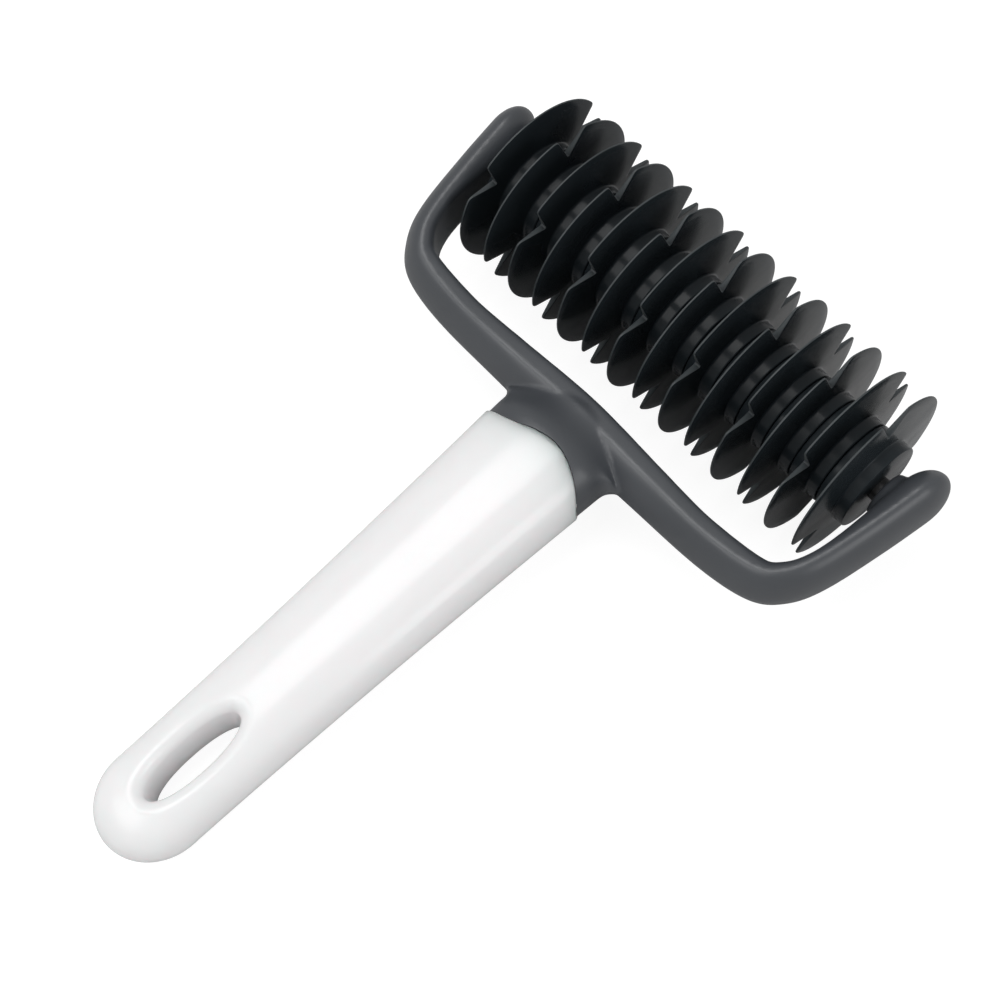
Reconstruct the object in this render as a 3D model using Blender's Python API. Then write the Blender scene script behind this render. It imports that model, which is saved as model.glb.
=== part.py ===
"""Lattice roller cutter: notched discs on one axle, held in a grey yoke with a white handle.

The tool frame has X along the axle, Y from the handle towards the roller and Z out of the
tool's upper face, with its zero in the middle of the yoke on the axle's line. The whole tool
then lies on a table: it rests on the roller and on the flat under the handle's tail.
Lengths are in metres and angles in radians.
"""

import math

import bmesh
import bpy
from mathutils import Vector

MM = 0.001

# Roller
DISC_COUNT = 14
DISC_PITCH = 7.57 * MM
ROLLER_HALF_LENGTH = DISC_COUNT * DISC_PITCH / 2
DISC_RADIUS = 21.0 * MM
RIM_THICKNESS = 0.36 * MM
WEB_FOOT_THICKNESS = 2.1 * MM
COLLAR_RADIUS = 10.4 * MM
RIM_STEPS = 8

NOTCH_COUNT = 3
NOTCH_HALF_ANGLE = math.radians(11)
NOTCH_ROOT_RADIUS = 14.5 * MM
NOTCH_ROOT_WIDTH = 0.4 * MM
NOTCH_CORNER = 1.0 * MM
FIRST_NOTCH = math.radians(13.2)
DISC_TURN = math.pi / NOTCH_COUNT

# Axle
CORE_SIDES = 6
CORE_RADIUS = 4.6 * MM
JOURNAL_RADIUS = 2.7 * MM
JOURNAL_CHAMFER = 0.5 * MM
JOURNAL_SEAT = 3.4 * MM
AXLE_SIDES = 24
ROLLER_SHIFT = -0.45 * MM

# Fits
CLEARANCE = 0.3 * MM
OVERRUN = 5.0 * MM

# Yoke: the ridge line runs along the crossbar, round a corner and up each arm. Each inset is
# measured inward from the arm's end
BAR_MIDDLE_Y = -32.5 * MM
BAR_QUARTER_INSET = 39.9 * MM
BAR_QUARTER_Y = -33.15 * MM
BAR_END_INSET = 23.9 * MM
BAR_END_Y = -33.35 * MM
CORNER_START_INSET = 11.8 * MM
CORNER_START_Y = -31.6 * MM
CORNER_INSET = 7.0 * MM
CORNER_Y = -28.0 * MM
CORNER_END_INSET = 4.1 * MM
CORNER_END_Y = -21.3 * MM
ARM_MIDDLE_INSET = 1.55 * MM
ARM_MIDDLE_Y = -8.0 * MM
ARM_END_GAP = 6.91 * MM
ARM_END_X = ROLLER_HALF_LENGTH + ARM_END_GAP
ARM_END_Y = 2.6 * MM
RIDGE = (
    (0, BAR_MIDDLE_Y),
    (ARM_END_X - BAR_QUARTER_INSET, BAR_QUARTER_Y),
    (ARM_END_X - BAR_END_INSET, BAR_END_Y),
    (ARM_END_X - CORNER_START_INSET, CORNER_START_Y),
    (ARM_END_X - CORNER_INSET, CORNER_Y),
    (ARM_END_X - CORNER_END_INSET, CORNER_END_Y),
    (ARM_END_X - ARM_MIDDLE_INSET, ARM_MIDDLE_Y),
    (ARM_END_X, ARM_END_Y),
)
TIP_LENGTH = 8.2 * MM
BAR_SPANS = 2
CORNER_SPANS = 3
ARM_SPANS = 2
SPAN_STEPS = 3
TIP_STEPS = 5
TIP_BLUNTNESS = 0.35

# Yoke section, measured from the ridge line
BAR_INNER_MIDDLE = 4.3 * MM
BAR_INNER_CORNER = 3.6 * MM
BAR_OUTER_MIDDLE = 5.7 * MM
BAR_OUTER_CORNER = 4.55 * MM
BAR_HALF_HEIGHT = 6.9 * MM
ARM_INNER = 1.75 * MM
TIP_INNER = 4.2 * MM
ARM_OUTER = 4.55 * MM
ARM_HALF_HEIGHT = 7.4 * MM
TIP_HALF_HEIGHT = 8.2 * MM
BAR_RISE = -0.4 * MM
ARM_RISE = 1.0 * MM
BAR_OUTER_ROUNDNESS = 1.35
ARM_OUTER_ROUNDNESS = 1.95
BAR_INNER_SLOPE_SHARE = 0.2
ARM_INNER_SLOPE_SHARE = 0.35
BAR_INNER_EDGE = 1.4 * MM
ARM_INNER_EDGE = 4.0 * MM
INNER_EDGE_SHARE = 0.95
OUTER_POINTS = 5
INNER_EDGE_POINTS = 3

# Boss that carries the journal on each arm's inner side
BOSS_GAP = 0.81 * MM
BOSS_FACE_X = ROLLER_HALF_LENGTH + BOSS_GAP
BOSS_FACE_RADIUS = 4.7 * MM
BOSS_EDGE = 0.5 * MM
BOSS_NECK_DEPTH = 1.4 * MM
BOSS_NECK_X = BOSS_FACE_X + BOSS_NECK_DEPTH
BOSS_NECK_RADIUS = 5.4 * MM
BOSS_FOOT_DEPTH = 4.8 * MM
BOSS_FOOT_X = BOSS_FACE_X + BOSS_FOOT_DEPTH
BOSS_FOOT_RADIUS = 7.4 * MM
BOSS_SIDES = 24

# Neck between the crossbar and the handle
NECK_NOSE_Y = -29.6 * MM
NECK_NOSE_HALF_HEIGHT = 6.1 * MM
NECK_FRONT_Y = -32.0 * MM
NECK_FULL_Y = -43.0 * MM
NECK_FRONT_HALF_HEIGHT = 7.5 * MM
NECK_FRONT_ROUNDNESS = 1.7
NECK_FILLET = 3.0 * MM
NECK_FILLET_FADE = 8
NECK_INSET = 0.5 * MM
NECK_STEPS = 9

# Handle
HANDLE_FRONT_Y = -39.0 * MM
HANDLE_CAP_Y = -147.2 * MM
HANDLE_CAP_LENGTH = 12.4 * MM
HANDLE_FRONT_HALF_WIDTH = 15.1 * MM
HANDLE_TAIL_HALF_WIDTH = 11.4 * MM
HANDLE_TAPER_POWER = 1.5
HANDLE_THICKNESS_SHARE = 0.67
HANDLE_RISE_FRONT = 1.1 * MM
HANDLE_RISE_TAIL = 2.2 * MM
HANDLE_ROUNDNESS = 2.3
HANDLE_SIDES = 32
HANDLE_STEPS = 12
CAP_STEPS = 7

# Parting line between the neck and the handle, seen from above, as points across the handle
# and how far each one lies behind the foremost
PARTING_FRONT_Y = -42.2 * MM
PARTING_ACROSS_SHARES = (-1, -0.66, -0.4, -0.13, 0.15, 0.4, 0.65, 0.85, 1)
PARTING_DEPTH = 6.4 * MM
PARTING_PARTS = 64
PARTING_BACK_SHARES = tuple(part / PARTING_PARTS for part in (35, 32, 24, 9, 0, 4, 19, 39, 64))
PARTING_STEPS = 3
NECK_END_Y = PARTING_FRONT_Y - PARTING_DEPTH - OVERRUN

# Tang of the yoke inside the handle
TANG_HALF_WIDTH = 8.5 * MM
TANG_HALF_HEIGHT = 5.0 * MM
TANG_START_Y = -34.0 * MM
TANG_END_Y = -74.0 * MM
TANG_ROUNDNESS = 4.0
TANG_SIDES = 20

# Hanging hole
HOLE_Y = -136.3 * MM
HOLE_HALF_LENGTH = 11.8 * MM
HOLE_HALF_WIDTH = 3.6 * MM
HOLE_ROUNDNESS = 2.2
HOLE_EDGE = 2.8 * MM
HOLE_SIDES = 28
HOLE_EDGE_STEPS = 3

# Flat under the tail
LAND_DEPTH = 0.3 * MM
BISECTION_STEPS = 40
STEEPEST_TILT = math.radians(20)

# Shading: edges steeper than this stay sharp
SHARP_ANGLE = math.radians(35)


def clear_scene():
    for thing in list(bpy.data.objects):
        bpy.data.objects.remove(thing, do_unlink=True)


def material(name, colour, roughness):
    made = bpy.data.materials.new(name)
    made.use_nodes = True
    shader = made.node_tree.nodes["Principled BSDF"]
    shader.inputs["Base Color"].default_value = (*colour, 1.0)
    shader.inputs["Roughness"].default_value = roughness
    shader.inputs["Metallic"].default_value = 0.0
    made.diffuse_color = (*colour, 1.0)
    return made


def grey_plastic():
    return material("yoke_grey_plastic", (0.06, 0.064, 0.07), 0.42)


def white_plastic():
    return material("handle_white_plastic", (0.84, 0.84, 0.84), 0.2)


def black_plastic():
    return material("disc_black_plastic", (0.012, 0.015, 0.016), 0.18)


def axle_plastic():
    return material("axle_black_plastic", (0.02, 0.02, 0.021), 0.35)


def mesh_of(name, sheet, surface=None):
    """The bmesh as a mesh with outward faces, smooth except at clear edges."""
    bmesh.ops.recalc_face_normals(sheet, faces=sheet.faces)
    made = bpy.data.meshes.new(name)
    sheet.to_mesh(made)
    sheet.free()
    made.shade_smooth()
    made.set_sharp_from_angle(angle=SHARP_ANGLE)
    if surface:
        made.materials.append(surface)
    return made


def place(name, mesh, parent):
    made = bpy.data.objects.new(name, mesh)
    bpy.context.scene.collection.objects.link(made)
    made.parent = parent
    return made


def place_empty(name, parent=None):
    return place(name, None, parent)


def helper(name, mesh, parent):
    """A body that only shapes another one through a Boolean."""
    made = place(name, mesh, parent)
    made.hide_render = True
    made.display_type = "WIRE"
    return made


def combine(target, other, operation):
    step = target.modifiers.new(f"{operation.lower()} {other.name}", "BOOLEAN")
    step.operation = operation
    step.object = other
    step.solver = "EXACT"


def loft(rings):
    """A closed skin through rings that all have the same number of points."""
    sheet = bmesh.new()
    rows = [[sheet.verts.new(point) for point in ring] for ring in rings]
    count = len(rows[0])
    for low, high in zip(rows, rows[1:]):
        for here in range(count):
            after = (here + 1) % count
            sheet.faces.new((low[here], low[after], high[after], high[here]))
    sheet.faces.new(rows[0])
    sheet.faces.new(rows[-1])
    return sheet


def prism(outline, travel):
    """A flat outline drawn out along a vector."""
    sheet = bmesh.new()
    face = sheet.faces.new([sheet.verts.new(point) for point in outline])
    grown = bmesh.ops.extrude_face_region(sheet, geom=[face])
    moved = [part for part in grown["geom"] if isinstance(part, bmesh.types.BMVert)]
    bmesh.ops.translate(sheet, verts=moved, vec=travel)
    return sheet


def turns(count):
    return [2 * math.pi * step / count for step in range(count)]


def ring_x(x, radius, count):
    """A circle about the X axis."""
    return [(x, radius * math.cos(turn), radius * math.sin(turn)) for turn in turns(count)]


def superellipse(turn, half_width, half_height, power):
    across = math.copysign(abs(math.cos(turn)) ** (2 / power), math.cos(turn))
    up = math.copysign(abs(math.sin(turn)) ** (2 / power), math.sin(turn))
    return half_width * across, half_height * up


def ease(share):
    share = min(max(share, 0), 1)
    return share * share * (3 - 2 * share)


def between(low, high, share):
    return low + (high - low) * share


def polygon_radius(turn, corner_radius, sides):
    """How far out a regular polygon's side lies in a direction."""
    slice_angle = 2 * math.pi / sides
    offset = turn % slice_angle - slice_angle / 2
    return corner_radius * math.cos(slice_angle / 2) / math.cos(offset)


def web_half_thickness(radius):
    """The web thins evenly from its foot on the collar to the rim."""
    share = (radius - COLLAR_RADIUS) / (DISC_RADIUS - COLLAR_RADIUS)
    return between(WEB_FOOT_THICKNESS, RIM_THICKNESS, share) / 2


def notch_side():
    """One side of a notch as (angle, radius): from its root out to the rim, round the corner."""
    root = NOTCH_ROOT_WIDTH / 2 / NOTCH_ROOT_RADIUS
    corner = Vector((math.cos(NOTCH_HALF_ANGLE), math.sin(NOTCH_HALF_ANGLE))) * DISC_RADIUS
    inner = Vector((math.cos(root), math.sin(root))) * NOTCH_ROOT_RADIUS
    wall = corner + (inner - corner).normalized() * NOTCH_CORNER
    past = NOTCH_HALF_ANGLE + NOTCH_CORNER / DISC_RADIUS
    rim = Vector((math.cos(past), math.sin(past))) * DISC_RADIUS
    middle = (wall + rim + 2 * corner) / 4
    return [(math.atan2(point.y, point.x), point.length) for point in (inner, wall, middle, rim)]


def notched_outline():
    """One disc's rim as (angle, radius), notch by notch."""
    side = notch_side()
    step = 2 * math.pi / NOTCH_COUNT
    first, last = side[-1][0], step - side[-1][0]
    outline = []
    for notch in range(NOTCH_COUNT):
        middle = notch * step
        outline += [(middle - turn, radius) for turn, radius in reversed(side)]
        outline += [(middle + turn, radius) for turn, radius in side]
        for rim in range(1, RIM_STEPS):
            outline.append((middle + between(first, last, rim / RIM_STEPS), DISC_RADIUS))
    return outline


def disc_mesh(surface):
    """A notched web that tapers to a thin rim, with a collar on both sides."""
    collar_half = DISC_PITCH / 2 - CLEARANCE / 2
    outline = notched_outline()
    half = [
        [(collar_half, turn, COLLAR_RADIUS) for turn, radius in outline],
        [(web_half_thickness(COLLAR_RADIUS), turn, COLLAR_RADIUS) for turn, radius in outline],
        [(web_half_thickness(radius), turn, radius) for turn, radius in outline],
    ]
    polar = half + [[(-x, turn, radius) for x, turn, radius in ring] for ring in reversed(half)]
    rings = [
        [(x, radius * math.cos(turn), radius * math.sin(turn)) for x, turn, radius in ring]
        for ring in polar
    ]
    return mesh_of("cutter_disc", loft(rings), surface)


def core_outline(x, grown):
    """The core's hexagon, grown square to its sides."""
    radius = CORE_RADIUS + grown / math.cos(math.pi / CORE_SIDES)
    return ring_x(x, radius, CORE_SIDES)


def build_discs(axis, surface):
    bore_start = -DISC_PITCH / 2 - OVERRUN
    bore = prism(core_outline(bore_start, CLEARANCE), (DISC_PITCH + 2 * OVERRUN, 0, 0))
    bore_mesh = mesh_of("disc_bore", bore)
    mesh = disc_mesh(surface)
    for index in range(DISC_COUNT):
        name = f"cutter_disc_{index + 1:02d}"
        disc = place(name, mesh, axis)
        disc.location.x = (index + 0.5) * DISC_PITCH - ROLLER_HALF_LENGTH
        disc.rotation_euler.x = FIRST_NOTCH + (index % 2) * DISC_TURN
        combine(disc, helper(f"{name}_bore", bore_mesh, disc), "DIFFERENCE")


def build_axle(axis, surface):
    """The hexagonal core with a round journal at each end."""
    core_half = ROLLER_HALF_LENGTH - CLEARANCE / 2
    journal_half = BOSS_FACE_X + JOURNAL_SEAT
    hexagon = [
        (polygon_radius(turn, CORE_RADIUS, CORE_SIDES), turn) for turn in turns(AXLE_SIDES)
    ]
    half = [
        ring_x(journal_half, JOURNAL_RADIUS - JOURNAL_CHAMFER, AXLE_SIDES),
        ring_x(journal_half - JOURNAL_CHAMFER, JOURNAL_RADIUS, AXLE_SIDES),
        ring_x(core_half, JOURNAL_RADIUS, AXLE_SIDES),
        [(core_half, far * math.cos(turn), far * math.sin(turn)) for far, turn in hexagon],
    ]
    rings = half + [[(-x, y, z) for x, y, z in ring] for ring in reversed(half)]
    axle = place("roller_axle", mesh_of("roller_axle", loft(rings), surface), axis)
    axle.rotation_euler.x = FIRST_NOTCH


def smooth_line(points, steps):
    """A smooth line through points, with straight ends."""
    padded = [points[0], *points, points[-1]]
    line = [points[0]]
    for before, start, end, after in zip(padded, padded[1:], padded[2:], padded[3:]):
        for step in range(1, steps + 1):
            share = step / steps
            leave = (end - before) * share * (1 - share) ** 2 / 2
            arrive = (after - start) * share**2 * (1 - share) / 2
            line.append(between(start, end, ease(share)) + leave - arrive)
    return line


def yoke_section(inner, outer, half_height, roundness, slope_share, edge):
    """The closed section as (outward, up), from the ridge over the outer side and back."""
    upper = []
    for step in range(OUTER_POINTS):
        turn = math.pi / 2 * (1 - step / (OUTER_POINTS - 1))
        upper.append(superellipse(turn, outer, half_height, roundness))
    radius = min(edge, INNER_EDGE_SHARE * inner)
    shoulder = half_height - slope_share * inner
    corner = []
    for step in range(INNER_EDGE_POINTS):
        share = step / (INNER_EDGE_POINTS - 1)
        rest = 1 - share
        up = shoulder + radius * (share * share * slope_share - rest * rest)
        corner.append((-inner + radius * share * share, up))
    lower = [(across, -up) for across, up in reversed(upper[:-1])]
    lower_corner = [(across, -up) for across, up in reversed(corner)]
    return upper + lower + lower_corner + corner


def section_ring(point, outward, section, rise, shrink=1):
    """A section stood on the ridge line, shrunk about its own middle for the rounded tip."""
    sides = [across for across, up in section]
    middle = (max(sides) + min(sides)) / 2
    ring = []
    for across, up in section:
        out = middle + (across - middle) * shrink
        ring.append((point.x + outward.x * out, point.y + outward.y * out, rise + up * shrink))
    return ring


def yoke_half_rings():
    """Section rings from the crossbar's middle to one tip."""
    ridge = [Vector(point) for point in RIDGE]
    left_of_middle = Vector((-ridge[1].x, ridge[1].y))
    line = smooth_line([left_of_middle, *ridge], SPAN_STEPS)[SPAN_STEPS:]
    rings = []
    for index, point in enumerate(line):
        along = line[min(index + 1, len(line) - 1)] - line[max(index - 1, 0)]
        if index == 0:
            along.y = 0
        along.normalize()
        outward = Vector((along.y, -along.x))
        spans = index / SPAN_STEPS
        bar = ease(spans / BAR_SPANS)
        round_corner = ease((spans - BAR_SPANS) / CORNER_SPANS)
        climb = max(spans - BAR_SPANS - CORNER_SPANS, 0) / ARM_SPANS
        inner = between(BAR_INNER_MIDDLE, BAR_INNER_CORNER, bar)
        inner = between(between(inner, ARM_INNER, round_corner), TIP_INNER, ease(climb))
        outer = between(between(BAR_OUTER_MIDDLE, BAR_OUTER_CORNER, bar), ARM_OUTER, round_corner)
        height = between(BAR_HALF_HEIGHT, ARM_HALF_HEIGHT, round_corner)
        slope_share = between(BAR_INNER_SLOPE_SHARE, ARM_INNER_SLOPE_SHARE, round_corner)
        height = between(height, TIP_HALF_HEIGHT, climb)
        edge = between(BAR_INNER_EDGE, ARM_INNER_EDGE, round_corner)
        roundness = between(BAR_OUTER_ROUNDNESS, ARM_OUTER_ROUNDNESS, round_corner)
        section = yoke_section(inner, outer, height, roundness, slope_share, edge)
        rise = between(BAR_RISE, ARM_RISE, round_corner)
        rings.append(section_ring(point, outward, section, rise))
    for step in range(1, TIP_STEPS + 1):
        turn = math.pi / 2 * step / (TIP_STEPS + TIP_BLUNTNESS)
        end = point + along * TIP_LENGTH * math.sin(turn)
        rings.append(section_ring(end, outward, section, rise, math.cos(turn)))
    return rings


def bow_mesh(surface):
    """Crossbar and arms as one bent bar, from tip to tip."""
    right = yoke_half_rings()
    left = [[(-x, y, z) for x, y, z in ring] for ring in reversed(right[1:])]
    return mesh_of("yoke_frame", loft(left + right), surface)


def mirrored(helper_object):
    """Both arms get the same body."""
    step = helper_object.modifiers.new("other arm", "MIRROR")
    step.use_axis = (True, False, False)
    step.use_mirror_merge = False
    return helper_object


def build_boss(tool):
    """A round boss on each arm, whose face stands next to the roller's end."""
    rings = [
        ring_x(BOSS_FACE_X, BOSS_FACE_RADIUS, BOSS_SIDES),
        ring_x(BOSS_FACE_X + BOSS_EDGE, BOSS_FACE_RADIUS + BOSS_EDGE, BOSS_SIDES),
        ring_x(BOSS_NECK_X, BOSS_NECK_RADIUS, BOSS_SIDES),
        ring_x(BOSS_FOOT_X, BOSS_FOOT_RADIUS, BOSS_SIDES),
    ]
    return mirrored(helper("bearing_boss", mesh_of("bearing_boss", loft(rings)), tool))


def build_bearing_hole(tool):
    """The blind hole in each boss, clear of the journal all round and at its end."""
    radius = JOURNAL_RADIUS + CLEARANCE
    floor_x = BOSS_FACE_X + JOURNAL_SEAT + abs(ROLLER_SHIFT) + CLEARANCE
    rings = [
        ring_x(BOSS_FACE_X - OVERRUN, radius, AXLE_SIDES),
        ring_x(floor_x, radius, AXLE_SIDES),
    ]
    return mirrored(helper("bearing_hole", mesh_of("bearing_hole", loft(rings)), tool))


def handle_share(y):
    """0 at the handle's front, 1 where its end cap begins."""
    return (y - HANDLE_FRONT_Y) / (HANDLE_CAP_Y - HANDLE_FRONT_Y)


def handle_half_width(y):
    rest = max(1 - handle_share(y), 0)
    flare = min(rest, 1) ** HANDLE_TAPER_POWER
    return between(HANDLE_TAIL_HALF_WIDTH, HANDLE_FRONT_HALF_WIDTH, flare)


def handle_rise(y):
    return between(HANDLE_RISE_FRONT, HANDLE_RISE_TAIL, handle_share(y))


def grip_ring(y, half_width, half_height, rise, power, count):
    ring = []
    for turn in turns(count):
        across, up = superellipse(turn, half_width, half_height, power)
        ring.append((across, y, rise + up))
    return ring


def handle_ring(y, shrink=1):
    half_width = handle_half_width(y) * shrink
    half_height = half_width * HANDLE_THICKNESS_SHARE
    return grip_ring(y, half_width, half_height, handle_rise(y), HANDLE_ROUNDNESS, HANDLE_SIDES)


def handle_rings():
    """Rings from ahead of the parting line to the rounded tail."""
    start = PARTING_FRONT_Y + OVERRUN
    rings = []
    for step in range(HANDLE_STEPS + 1):
        rings.append(handle_ring(between(start, HANDLE_CAP_Y, step / HANDLE_STEPS)))
    for step in range(1, CAP_STEPS + 1):
        turn = math.pi / 2 * step / (CAP_STEPS + TIP_BLUNTNESS)
        y = HANDLE_CAP_Y - HANDLE_CAP_LENGTH * math.sin(turn)
        rings.append(handle_ring(y, math.cos(turn)))
    return rings


def fillet_share(across):
    """The fillet widens the neck's sides only, and fades out towards its top."""
    return math.copysign(abs(across) ** NECK_FILLET_FADE, across)


def neck_rings():
    """Rings that rise from inside the crossbar, with a fillet, to the handle's own section."""
    nose_half_width = HANDLE_FRONT_HALF_WIDTH - NECK_INSET
    nose = (NECK_NOSE_Y, nose_half_width, NECK_NOSE_HALF_HEIGHT, BAR_RISE, NECK_FRONT_ROUNDNESS)
    rings = [grip_ring(*nose, HANDLE_SIDES)]
    face_y = BAR_MIDDLE_Y - BAR_OUTER_MIDDLE
    for step in range(NECK_STEPS + 1):
        y = between(NECK_FRONT_Y, NECK_END_Y, step / NECK_STEPS)
        grow = ease((y - NECK_FRONT_Y) / (NECK_FULL_Y - NECK_FRONT_Y))
        roundness = between(NECK_FRONT_ROUNDNESS, HANDLE_ROUNDNESS, grow)
        away = min(abs(face_y - y), NECK_FILLET)
        flare = NECK_FILLET - math.sqrt(NECK_FILLET**2 - (NECK_FILLET - away) ** 2)
        half_width = handle_half_width(y) - NECK_INSET
        full_height = handle_half_width(y) * HANDLE_THICKNESS_SHARE
        half_height = between(NECK_FRONT_HALF_HEIGHT, full_height, grow)
        rise = between(BAR_RISE, handle_rise(y), grow)
        ring = grip_ring(y, half_width, half_height, rise, roundness, HANDLE_SIDES)
        rings.append([(x + flare * fillet_share(x / half_width), y, z) for x, y, z in ring])
    return rings


def parting_line(forward):
    """The parting line moved forward, left to right, past both sides of the handle."""
    points = [
        Vector((across * HANDLE_FRONT_HALF_WIDTH, PARTING_FRONT_Y - back * PARTING_DEPTH + forward))
        for across, back in zip(PARTING_ACROSS_SHARES, PARTING_BACK_SHARES)
    ]
    line = smooth_line(points, PARTING_STEPS)
    left = Vector((line[0].x - OVERRUN, line[0].y))
    right = Vector((line[-1].x + OVERRUN, line[-1].y))
    return [left, *line, right]


def standing_block(line, far_y, name, parent):
    """A helper between the parting line and a straight side, taller than the handle."""
    reach = HANDLE_FRONT_HALF_WIDTH + OVERRUN
    outline = [*line, Vector((line[-1].x, far_y)), Vector((line[0].x, far_y))]
    foot = [(x, y, -reach) for x, y in outline]
    return helper(name, mesh_of(name, prism(foot, (0, 0, 2 * reach))), parent)


def build_front_block(tool):
    """All that lies ahead of the parting line."""
    return standing_block(
        parting_line(0), PARTING_FRONT_Y + 2 * OVERRUN, "ahead_of_parting", tool
    )


def build_rear_block(tool):
    """All that lies behind the parting line, with the seam's width left open."""
    return standing_block(
        parting_line(CLEARANCE), NECK_END_Y - OVERRUN, "behind_parting", tool
    )


def build_neck(tool):
    neck = helper("neck", mesh_of("neck", loft(neck_rings())), tool)
    combine(neck, build_rear_block(tool), "DIFFERENCE")
    return neck


def tang_bar(name, grown, tool):
    """The tang's flat bar, or its socket when grown by the clearance."""
    rings = []
    rise = handle_rise((TANG_START_Y + TANG_END_Y) / 2)
    for y in (TANG_START_Y, TANG_END_Y - grown):
        half_width = TANG_HALF_WIDTH + grown
        half_height = TANG_HALF_HEIGHT + grown
        rings.append(grip_ring(y, half_width, half_height, rise, TANG_ROUNDNESS, TANG_SIDES))
    return helper(name, mesh_of(name, loft(rings)), tool)


def build_yoke(tool, surface):
    yoke = place("yoke_frame", bow_mesh(surface), tool)
    combine(yoke, build_boss(tool), "UNION")
    combine(yoke, build_neck(tool), "UNION")
    combine(yoke, tang_bar("tang", 0, tool), "UNION")
    combine(yoke, build_bearing_hole(tool), "DIFFERENCE")


def hole_outline(grown):
    points = []
    for turn in turns(HOLE_SIDES):
        half_width = HOLE_HALF_WIDTH + grown
        half_length = HOLE_HALF_LENGTH + grown
        x, along = superellipse(turn, half_width, half_length, HOLE_ROUNDNESS)
        points.append((x, HOLE_Y + along))
    return points


def handle_top(x, y):
    """How far the handle's surface stands above its own middle at a point of its plan."""
    along = max(HANDLE_CAP_Y - y, 0) / HANDLE_CAP_LENGTH
    half_width = handle_half_width(y) * math.sqrt(max(1 - along * along, 0))
    side = min(abs(x) / half_width, 1) ** HANDLE_ROUNDNESS
    return half_width * HANDLE_THICKNESS_SHARE * (1 - side) ** (1 / HANDLE_ROUNDNESS)


def hanging_hole_rings():
    """The hole's wall with an edge that flares out to the handle's own surface."""
    upper = []
    for step in range(HOLE_EDGE_STEPS + 1):
        turn = math.pi / 2 * step / HOLE_EDGE_STEPS
        grown = HOLE_EDGE * (1 - math.cos(turn))
        depth = HOLE_EDGE * (1 - math.sin(turn))
        outline = hole_outline(grown)
        upper.append([(x, y, handle_top(x, y) - depth) for x, y in outline])
    upper.append([(x, y, z + OVERRUN) for x, y, z in upper[-1]])
    lower = [[(x, y, -z) for x, y, z in ring] for ring in reversed(upper)]
    return [[(x, y, handle_rise(y) + z) for x, y, z in ring] for ring in lower + upper]


def build_handle(tool, surface):
    handle = place("handle", mesh_of("handle", loft(handle_rings()), surface), tool)
    hole = helper("hanging_hole", mesh_of("hanging_hole", loft(hanging_hole_rings())), tool)
    combine(handle, build_front_block(tool), "DIFFERENCE")
    combine(handle, tang_bar("tang_socket", CLEARANCE, tool), "DIFFERENCE")
    combine(handle, hole, "DIFFERENCE")
    return handle


def tilted_handle(tilt):
    """The handle's points as (y, z) about the axle once the tool is tilted."""
    side, up = math.sin(tilt), math.cos(tilt)
    points = [(y, z) for ring in handle_rings() for x, y, z in ring]
    return [(y * up - z * side, y * side + z * up) for y, z in points]


def resting_tilt():
    """The tilt at which the tail dips just below the table that the discs stand on."""
    low, high = 0, STEEPEST_TILT
    for step in range(BISECTION_STEPS):
        tilt = (low + high) / 2
        if min(z for y, z in tilted_handle(tilt)) > -DISC_RADIUS - LAND_DEPTH:
            low = tilt
        else:
            high = tilt
    return tilt


def build_table(tail_y):
    """A block whose top is the table: what the handle's tail loses to it is the flat land."""
    half = 2 * HANDLE_TAIL_HALF_WIDTH
    corners = [(-half, -half, 0), (half, -half, 0), (half, half, 0), (-half, half, 0)]
    table = helper("table", mesh_of("table", prism(corners, (0, 0, -OVERRUN))), None)
    table.location.y = tail_y
    return table


def lay_down(tool, handle):
    """Rests the tool on the table, with the origin under the middle of its outer box."""
    tilt = resting_tilt()
    tail_y = min(y for y, z in tilted_handle(tilt))
    half_length = (DISC_RADIUS - tail_y) / 2
    tool.rotation_euler.x = tilt
    tool.location = (0, half_length - DISC_RADIUS, DISC_RADIUS)
    combine(handle, build_table(-half_length), "DIFFERENCE")


def main():
    clear_scene()
    tool = place_empty("tool_frame")
    axis = place_empty("roller_axis", tool)
    axis.location.x = ROLLER_SHIFT
    build_yoke(tool, grey_plastic())
    handle = build_handle(tool, white_plastic())
    build_axle(axis, axle_plastic())
    build_discs(axis, black_plastic())
    lay_down(tool, handle)


main()
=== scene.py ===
"""Looks of the lattice roller cutter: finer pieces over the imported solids, plastics and a studio.

The tool frame has X along the axle, Y from the handle towards the roller and Z out of the
tool's upper face, with its zero in the middle of the yoke on the axle's line. Lengths are in
metres and angles in radians.
"""

import math

import bmesh
import bpy
from mathutils import Matrix, Vector


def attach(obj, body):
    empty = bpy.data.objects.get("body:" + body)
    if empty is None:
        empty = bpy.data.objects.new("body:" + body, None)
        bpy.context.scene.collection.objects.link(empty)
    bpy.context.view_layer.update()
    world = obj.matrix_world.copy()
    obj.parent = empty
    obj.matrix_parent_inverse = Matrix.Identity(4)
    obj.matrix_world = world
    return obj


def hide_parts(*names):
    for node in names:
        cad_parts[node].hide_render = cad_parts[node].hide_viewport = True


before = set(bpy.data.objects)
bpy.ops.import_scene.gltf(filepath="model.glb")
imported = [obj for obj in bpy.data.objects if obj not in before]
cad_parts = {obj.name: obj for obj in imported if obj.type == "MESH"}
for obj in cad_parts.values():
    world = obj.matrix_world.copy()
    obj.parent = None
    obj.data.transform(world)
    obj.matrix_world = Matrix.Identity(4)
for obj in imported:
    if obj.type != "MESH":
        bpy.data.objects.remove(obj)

MM = 0.001
OVERRUN = 5.0 * MM

# The tool as it lies: tilted about the axle until the tail rests on the table
TILT = math.radians(6.166)
AXLE_Y = 68.977 * MM
AXLE_Z = 21.0 * MM
ROLLER_SHIFT = -0.45 * MM

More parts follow.
